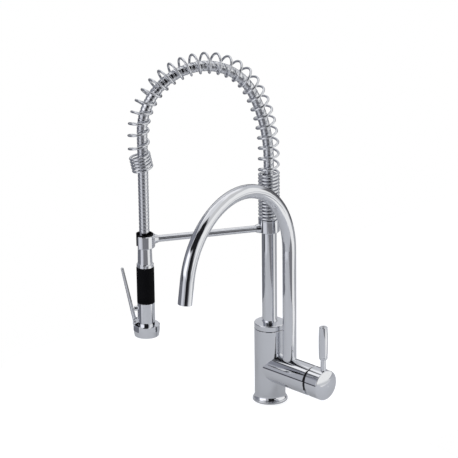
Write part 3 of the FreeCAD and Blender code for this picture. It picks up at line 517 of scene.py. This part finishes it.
def set_screw(node, body, outer_end, way, radius, length, finish):
    """Set screw with a cone point and a hexagon socket, in place of the solid's plain one."""
    key = 0.5 * radius
    outline = [(0.3 * radius, -length), (radius, -length + 0.7 * radius), (radius, -0.3),
               (radius - 0.3, 0.0), (key + 0.15, 0.0), (key, -0.15), (key, -0.9 * radius)]
    screw = lathed(outline, about(outer_end, way), sides=24, hexed=(4, 5, 6))
    piece = mesh_piece("socket_" + node, *screw, finish, crisp_deg=30)
    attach(piece, body)
    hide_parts(node)


def set_screws(finish):
    """The screws of the collar, the riser, the spout and the handle."""
    set_screw("collar_screw", "riser", on_arm(collar_screw_inset - collar_r, 0, arm_z),
              way=-on_arm(1, 0, 0), radius=2.0, length=4.3, finish=finish)
    set_screw("riser_lock_screw", "body", Vector(riser_screw_end),
              way=REAR, radius=1.7, length=13.7, finish=finish)
    set_screw("spout_lock_screw", "body", Vector(spout_screw_end),
              way=REAR, radius=1.5, length=14.0, finish=finish)
    set_screw("handle_screw", "handle", Vector(handle_screw_end),
              way=DOWN, radius=2.0, length=19.1, finish=finish)


def spray_plunger(finish):
    """Plunger that the spray lever presses: stem, shoulder, a fine ring groove and a domed end."""
    outline = [(plunger_stem_r - 0.4, plunger_stem_end), (plunger_stem_r, plunger_stem_end + 0.4),
               (plunger_stem_r, plunger_back), (plunger_head_r - 0.3, plunger_back),
               (plunger_head_r, plunger_back + 0.3), (plunger_head_r, plunger_back + 1.5),
               (plunger_groove_r, plunger_back + 1.7), (plunger_groove_r, plunger_back + 2.1),
               (plunger_head_r, plunger_back + 2.3)]
    outline += [(radius, plunger_tip - below) for radius, below in plunger_dome]
    foot = on_lever_side(0, 0, plunger_z)
    place = about(foot, on_lever_side(1, 0, plunger_z) - foot)
    plunger = lathed(outline, place, sides=48)
    piece = mesh_piece("spray_plunger", *plunger, finish, crisp_deg=30)
    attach(piece, "plunger")
    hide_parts("plunger")


def plunger_coil(finish):
    """Small return spring behind the plunger of the hand spray."""
    wire = return_wire_r
    run = return_length - 2 * wire

    def spring_point(turn, radius):
        along = plunger_back - wire - run * turn / return_turns
        return on_lever_side(along, radius * math.cos(TURN * turn),
                             plunger_z + radius * math.sin(TURN * turn))

    def axis_point(turn):
        return spring_point(turn, 0)

    def centre_line(turn):
        return spring_point(turn, return_r - wire)

    points, faces = wound_wire(centre_line, return_turns, axis_point, wire, 0.5 * wire)
    piece = mesh_piece("plunger_coil", points, faces, finish, crisp_deg=60)
    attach(piece, "plunger")
    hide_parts("return_spring")


def lever_rivet(finish):
    """Pivot of the spray lever, with a domed head outside each ear of its bracket."""
    half = [(radius, bracket_half + height) for radius, height in rivet_head]
    outline = [(radius, -height) for radius, height in reversed(half)] + half
    middle = on_lever_side(lever_pivot_u, 0, lever_pivot_z)
    beside = on_lever_side(lever_pivot_u, 1, lever_pivot_z) - middle
    rivet = lathed(outline, about(middle, beside), sides=32)
    piece = mesh_piece("lever_rivet", *rivet, finish, crisp_deg=50)
    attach(piece, "hand_spray")
    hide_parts("lever_pivot_pin")


def spray_tips(finish):
    """Soft nozzle tips on the spray face, each with its hole."""
    tips = []
    for ring_r, count in nozzle_rings:
        for i in range(count):
            angle = TURN * i / count
            foot = on_wand(ring_r * math.cos(angle), ring_r * math.sin(angle), face_bottom_z)
            tips.append(lathed(tip_outline, about(foot, DOWN), sides=20))
    piece = mesh_piece("spray_tips", *joined(tips), finish, crisp_deg=50)
    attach(piece, "hand_spray")


def ringed_grip(finish):
    """Rubber sleeve with a lip over the handset and fine rings near its lower end."""
    outline = [(grip_bore_r, grip_seat_z), (grip_lip_r, grip_seat_z), (grip_lip_r, grip_bottom_z),
               (grip_r - 0.1, grip_bottom_z), (grip_r, grip_bottom_z + 0.2),
               (grip_r, grip_bottom_z + 0.3)]
    for ring in range(grip_rings):
        low = grip_bottom_z + grip_first_ring + grip_ring_pitch * ring
        high = low + grip_ring_width
        outline += [(grip_r, low), (grip_r - grip_ring_depth, low + grip_ring_flank),
                    (grip_r - grip_ring_depth, high - grip_ring_flank), (grip_r, high)]
    outline += [(grip_r, grip_top_z - 0.8), (grip_r, grip_top_z - 0.7),
                (grip_r - 0.2, grip_top_z - 0.2), (grip_r - 0.7, grip_top_z),
                (grip_bore_r + 0.2, grip_top_z), (grip_bore_r, grip_top_z - 0.3)]
    grip = lathed(outline, about(on_wand(0, 0, 0), UP), sides=96, capped=False)
    piece = mesh_piece("ringed_grip", *grip, finish, crisp_deg=35)
    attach(piece, "hand_spray")
    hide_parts("rubber_grip")


def sleeve_button(finish):
    """Low button with a hexagon socket on top of the handle's pin sleeve."""
    outline = [(2.5, 0.02), (2.5, 0.4), (2.2, 0.65), (1.45, 0.7), (1.35, 0.55), (1.35, 0.1)]
    button = lathed(outline, about(Vector(sleeve_top), UP), sides=36, hexed=(3, 4, 5))
    piece = mesh_piece("sleeve_button", *button, finish, crisp_deg=30)
    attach(piece, "handle")


# ---- Finishes ----

def put(tree, kind, inputs=None, **settings):
    """Add a node with its settings. An input takes a number, a colour or another node's output."""
    node = tree.nodes.new("ShaderNode" + kind)
    for key, value in settings.items():
        setattr(node, key, value)
    for key, value in (inputs or {}).items():
        if isinstance(value, bpy.types.NodeSocket):
            tree.links.new(value, node.inputs[key])
        else:
            node.inputs[key].default_value = value
    return node


def reckon(tree, operation, *values, **settings):
    """Output of a math node on numbers or other nodes' outputs."""
    return put(tree, "Math", dict(enumerate(values)), operation=operation, **settings).outputs[0]


def effect(name, inputs, outputs):
    """Empty shader node group with named number inputs and outputs, and its two end nodes."""
    group = bpy.data.node_groups.new(name, "ShaderNodeTree")
    for label, value in inputs.items():
        socket = group.interface.new_socket(label, in_out="INPUT", socket_type="NodeSocketFloat")
        socket.default_value = value
    for label in outputs:
        group.interface.new_socket(label, in_out="OUTPUT", socket_type="NodeSocketFloat")
    return group, group.nodes.new("NodeGroupInput"), group.nodes.new("NodeGroupOutput")


def handled_surface():
    """Faint wipe marks and polishing lines: a roughness and a height over the surface."""
    group, given, out = effect("handled surface",
                               {"Roughness": 0.06, "Marks": 0.03, "Line Scale": 900.0},
                               ["Roughness", "Height"])
    place = put(group, "TexCoord").outputs["Object"]
    cloud = put(group, "TexNoise", {"Vector": place, "Scale": 22.0, "Detail": 3.0,
                                    "Roughness": 0.6})
    stretched = put(group, "Mapping", {"Vector": place, "Scale": (1.0, 1.0, 0.06)})
    lines = put(group, "TexNoise", {"Vector": stretched.outputs[0],
                                    "Scale": given.outputs["Line Scale"], "Detail": 2.0})
    worn = reckon(group, "SUBTRACT", cloud.outputs["Fac"], 0.5)
    amount = reckon(group, "MULTIPLY", worn, given.outputs["Marks"])
    rough = reckon(group, "ADD", amount, given.outputs["Roughness"], use_clamp=True)
    group.links.new(rough, out.inputs["Roughness"])
    group.links.new(lines.outputs["Fac"], out.inputs["Height"])
    return group


def moulded_surface():
    """Fine grain of a moulded or cut piece: a roughness, a shade and a height over the surface."""
    group, given, out = effect("moulded surface",
                               {"Roughness": 0.5, "Spread": 0.1, "Grain Scale": 1500.0},
                               ["Roughness", "Shade", "Height"])
    place = put(group, "TexCoord").outputs["Object"]
    grain = put(group, "TexNoise", {"Vector": place, "Scale": given.outputs["Grain Scale"],
                                    "Detail": 2.0})
    cloud = put(group, "TexNoise", {"Vector": place, "Scale": 60.0, "Detail": 4.0,
                                    "Roughness": 0.55})
    swing = reckon(group, "SUBTRACT", cloud.outputs["Fac"], 0.5)
    spread = reckon(group, "MULTIPLY", swing, given.outputs["Spread"])
    rough = reckon(group, "ADD", spread, given.outputs["Roughness"], use_clamp=True)
    group.links.new(rough, out.inputs["Roughness"])
    group.links.new(cloud.outputs["Fac"], out.inputs["Shade"])
    group.links.new(grain.outputs["Fac"], out.inputs["Height"])
    return group


def new_finish(name, inputs):
    """Material whose shader node has the given values and is linked to the output."""
    finish = bpy.data.materials.new(name)
    finish.use_nodes = True
    tree = finish.node_tree
    tree.nodes.clear()
    shader = put(tree, "BsdfPrincipled", inputs)
    put(tree, "OutputMaterial", {"Surface": shader.outputs[0]})
    return finish, tree, shader


def relief(tree, shader, height, depth):
    """Bump of the given depth in millimetres on the shader's normal."""
    bump = put(tree, "Bump", {"Height": height, "Distance": depth * MM, "Strength": 1.0})
    tree.links.new(bump.outputs[0], shader.inputs["Normal"])


def metal(name, colour, roughness, marks, line_scale, depth):
    """Metal with faint wipe marks and fine lines."""
    finish, tree, shader = new_finish(name, {"Base Color": (*colour, 1), "Metallic": 1.0})
    surface = put(tree, "Group", {"Roughness": roughness, "Marks": marks,
                                  "Line Scale": line_scale}, node_tree=handled)
    tree.links.new(surface.outputs["Roughness"], shader.inputs["Roughness"])
    relief(tree, shader, surface.outputs["Height"], depth)
    return finish


def moulded(name, dark, light, roughness, spread, grain_scale, depth, gloss=0.5):
    """Rubber or plastic whose shade drifts between two close colours."""
    finish, tree, shader = new_finish(name, {"Specular IOR Level": gloss})
    surface = put(tree, "Group", {"Roughness": roughness, "Spread": spread,
                                  "Grain Scale": grain_scale}, node_tree=moulding)
    shade = put(tree, "ValToRGB", {"Fac": surface.outputs["Shade"]})
    ends = shade.color_ramp.elements
    ends[0].position, ends[1].position = 0.3, 0.7
    ends[0].color, ends[1].color = (*dark, 1), (*light, 1)
    tree.links.new(shade.outputs[0], shader.inputs["Base Color"])
    tree.links.new(surface.outputs["Roughness"], shader.inputs["Roughness"])
    relief(tree, shader, surface.outputs["Height"], depth)
    return finish


handled = handled_surface()
moulding = moulded_surface()

polished_chrome = metal("polished chrome", (0.80, 0.81, 0.835),
                        roughness=0.05, marks=0.05, line_scale=500.0, depth=0.0006)
spring_steel = metal("plated spring wire", (0.78, 0.79, 0.815),
                     roughness=0.04, marks=0.03, line_scale=700.0, depth=0.0004)
hose_steel = metal("hose steel", (0.74, 0.75, 0.775),
                   roughness=0.05, marks=0.04, line_scale=700.0, depth=0.0006)
screw_steel = metal("screw steel", (0.55, 0.55, 0.56),
                    roughness=0.28, marks=0.1, line_scale=900.0, depth=0.003)
brass = metal("machined brass", (0.72, 0.55, 0.25),
              roughness=0.22, marks=0.1, line_scale=900.0, depth=0.003)
black_rubber = moulded("black rubber", (0.0015, 0.0015, 0.0022), (0.0025, 0.0025, 0.0034),
                       roughness=0.6, spread=0.1, grain_scale=2200.0, depth=0.02, gloss=0.08)
# Also painted shade in the handle's gap, on the cartridge nut and cover
dark_plastic = moulded("dark plastic and gap shade", (0.014, 0.014, 0.016), (0.022, 0.022, 0.024),
                       roughness=0.35, spread=0.08, grain_scale=1500.0, depth=0.004)
cartridge_plastic = moulded("cartridge plastic", (0.66, 0.65, 0.60), (0.72, 0.71, 0.67),
                            roughness=0.4, spread=0.08, grain_scale=1500.0, depth=0.004)
bearing_plastic = moulded("bearing plastic", (0.80, 0.80, 0.76), (0.86, 0.86, 0.83),
                          roughness=0.35, spread=0.08, grain_scale=1500.0, depth=0.004)

# Finish of each material slot of the solids
slot_finishes = {
    "polished_chrome": polished_chrome,
    "spring_steel": spring_steel,
    "hose_steel": hose_steel,
    "screw_steel": screw_steel,
    "brass": brass,
    "black_rubber": black_rubber,
    "dark_plastic": dark_plastic,
    "cartridge_plastic": cartridge_plastic,
    "bearing_plastic": bearing_plastic,
}

# Solids in another finish than their slot's: the nut and cover, dark as painted shade in the
# handle's gap, and the liner of the arm's collar, where the photograph has no dark line
own_finishes = {
    # Painted shade: the nut and cover are dark so that the handle's gap looks shaded
    "cartridge_nut": dark_plastic,
    "cartridge_cover": dark_plastic,
    "collar_liner": polished_chrome,
}


def dress_nodes():
    """Give every solid its own finish or that of its material slot, and even shading. The dark
    finish of the nut and cover is painted shade in the handle's gap.
    """
    for label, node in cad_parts.items():
        for i, kept in enumerate(node.data.materials):
            slot = kept.name.split(".")[0]
            node.material_slots[i].link = "DATA"
            node.data.materials[i] = own_finishes.get(label, slot_finishes[slot])
        even = node.modifiers.new("even shading", "WEIGHTED_NORMAL")
        even.keep_sharp = True


# ---- Studio ----

def studio_panel():
    """Mask of a soft-edged panel seen at a heading and between two elevations, in degrees."""
    group, given, out = effect("studio panel",
                               {"Heading": 0.0, "Elevation": 0.0, "Middle": 0.0,
                                "Half Width": 30.0, "Low": -90.0, "High": 90.0, "Soft": 3.0},
                               ["Mask"])
    off = reckon(group, "SUBTRACT", given.outputs["Heading"], given.outputs["Middle"])
    aside = reckon(group, "ABSOLUTE", reckon(group, "WRAP", off, 180.0, -180.0))
    height = given.outputs["Elevation"]
    ramps = []
    for value, edge, sign in ((aside, "Half Width", -1.0), (height, "Low", 1.0),
                              (height, "High", -1.0)):
        past = reckon(group, "SUBTRACT", value, given.outputs[edge])
        share = reckon(group, "DIVIDE", past, given.outputs["Soft"])
        ramp = put(group, "MapRange", {"Value": share, "From Min": -sign, "From Max": sign},
                   interpolation_type="SMOOTHSTEP")
        ramps.append(ramp.outputs[0])
    between = reckon(group, "MULTIPLY", ramps[0], ramps[1])
    group.links.new(reckon(group, "MULTIPLY", between, ramps[2]), out.inputs["Mask"])
    return group


def studio_world():
    """White to the camera, plain light to dull surfaces, and a room of panels to shiny ones."""
    world = bpy.data.worlds.new("studio")
    bpy.context.scene.world = world
    world.use_nodes = True
    tree = world.node_tree
    tree.nodes.clear()
    way = put(tree, "SeparateXYZ", {0: put(tree, "TexCoord").outputs["Generated"]})
    toward_front = reckon(tree, "MULTIPLY", way.outputs["Y"], -1.0)
    heading = reckon(tree, "DEGREES", reckon(tree, "ARCTAN2", way.outputs["X"], toward_front))
    elevation = reckon(tree, "DEGREES", reckon(tree, "ARCSINE", way.outputs["Z"]))
    panel = studio_panel()
    shade = (*room_colour, 1)
    for middle, half, low, high, soft, colour in room_panels:
        mask = put(tree, "Group", {"Heading": heading, "Elevation": elevation,
                                   "Middle": middle + camera_heading, "Half Width": half,
                                   "Low": low, "High": high, "Soft": soft}, node_tree=panel)
        mix = put(tree, "Mix", {"Factor": mask.outputs[0], 6: shade, 7: (*colour, 1)},
                  data_type="RGBA")
        shade = mix.outputs[2]
    path = put(tree, "LightPath")
    room = put(tree, "Background", {"Color": shade, "Strength": 1.0})
    plain = put(tree, "Background", {"Color": (*plain_light, 1), "Strength": 1.0})
    white = put(tree, "Background", {"Color": (1, 1, 1, 1), "Strength": 1.0})
    shiny = put(tree, "MixShader", {0: path.outputs["Is Glossy Ray"], 1: plain.outputs[0],
                                    2: room.outputs[0]})
    behind = reckon(tree, "MAXIMUM", path.outputs["Is Camera Ray"],
                    path.outputs["Is Transmission Ray"])
    seen = put(tree, "MixShader", {0: behind, 1: shiny.outputs[0], 2: white.outputs[0]})
    put(tree, "OutputWorld", {"Surface": seen.outputs[0]})


def studio_floor():
    """Pale floor. The camera and clear pieces see it white, with the object's shadow on it."""
    finish, tree, shader = new_finish("studio floor", {"Base Color": (*floor_colour, 1),
                                                       "Roughness": 1.0,
                                                       "Specular IOR Level": 0.0,
                                                       "Emission Color": (1, 1, 1, 1)})
    path = put(tree, "LightPath")
    shiny = reckon(tree, "MULTIPLY", path.outputs["Is Glossy Ray"], shiny_share)
    behind = reckon(tree, "ADD", path.outputs["Is Camera Ray"],
                    path.outputs["Is Transmission Ray"])
    glow = reckon(tree, "MULTIPLY", reckon(tree, "ADD", behind, shiny), floor_glow)
    tree.links.new(glow, shader.inputs["Emission Strength"])
    points = [(x, y, floor_z) for x, y in floor_corners]
    mesh_piece("floor", points, [tuple(range(len(points)))], finish)


def soft_lamp(name, place, target, size, power):
    """Square lamp at a place, turned to a target. It shows in no picture and in no reflection."""
    lamp = bpy.data.lights.new(name, "AREA")
    lamp.shape = "SQUARE"
    lamp.size = size * MM
    lamp.energy = power
    holder = bpy.data.objects.new(name, lamp)
    bpy.context.scene.collection.objects.link(holder)
    holder.location = Vector(place) * MM
    holder.rotation_mode = "QUATERNION"
    holder.rotation_quaternion = (Vector(place) - Vector(target)).to_track_quat("Z", "Y")
    holder.visible_camera = False
    holder.visible_glossy = False


def camera():
    """Long lens at the photograph's height and heading, with its slight roll."""
    data = bpy.data.cameras.new("camera")
    data.sensor_width = sensor_width
    data.lens = sensor_width * focal_px / frame_px
    data.clip_start = 0.1
    data.clip_end = 50.0
    holder = bpy.data.objects.new("camera", data)
    bpy.context.scene.collection.objects.link(holder)
    right, up = Vector(camera_right), Vector(camera_up)
    turn = Matrix((right, up, right.cross(up))).transposed().to_4x4()
    holder.matrix_world = Matrix.Translation(Vector(camera_place) * MM) @ turn
    bpy.context.scene.camera = holder


camera()
dress_nodes()
arch_spring(spring_steel)
ribbed_hose(hose_steel)
# The black rubber under the cap is a ring of painted shade in the joint
riser_cap(polished_chrome, black_rubber)
set_screws(screw_steel)
spray_plunger(polished_chrome)
plunger_coil(spring_steel)
lever_rivet(screw_steel)
spray_tips(black_rubber)
ringed_grip(black_rubber)
sleeve_button(screw_steel)
studio_floor()
for lamp in lamps:
    soft_lamp(*lamp)
studio_world()
bpy.context.scene.view_settings.view_transform = "Standard"
